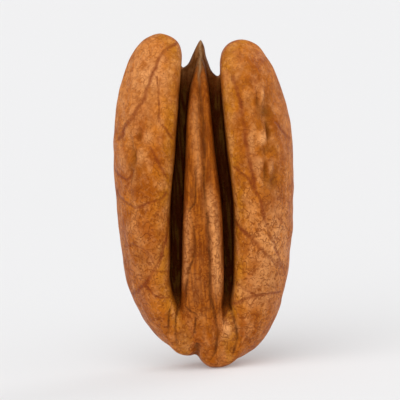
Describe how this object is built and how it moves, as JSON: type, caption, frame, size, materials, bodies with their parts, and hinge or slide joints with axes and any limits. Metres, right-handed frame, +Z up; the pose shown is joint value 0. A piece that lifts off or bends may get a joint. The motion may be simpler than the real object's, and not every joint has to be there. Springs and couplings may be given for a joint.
{
  "type": "shelled pecan half",
  "caption": "Kernel half of a pecan in its brown veined skin: long grooved lobes beside a raised middle ridge, a pointed tip and a flatter inner face.",
  "frame": {"origin": "under the middle of the kernel's bounding box, on the surface that it stands on", "axes": "+Z up along the kernel from its base end to its tip, -Y out of the grooved outer face, +X to that face's right"},
  "size_m": [0.0162, 0.0074, 0.0304],
  "materials": {
    "kernel_skin": "satin, a thin slightly oily skin"
  },
  "bodies": {
    "root": {"pecan_half": "kernel_skin"}
  },
  "joints": []
}
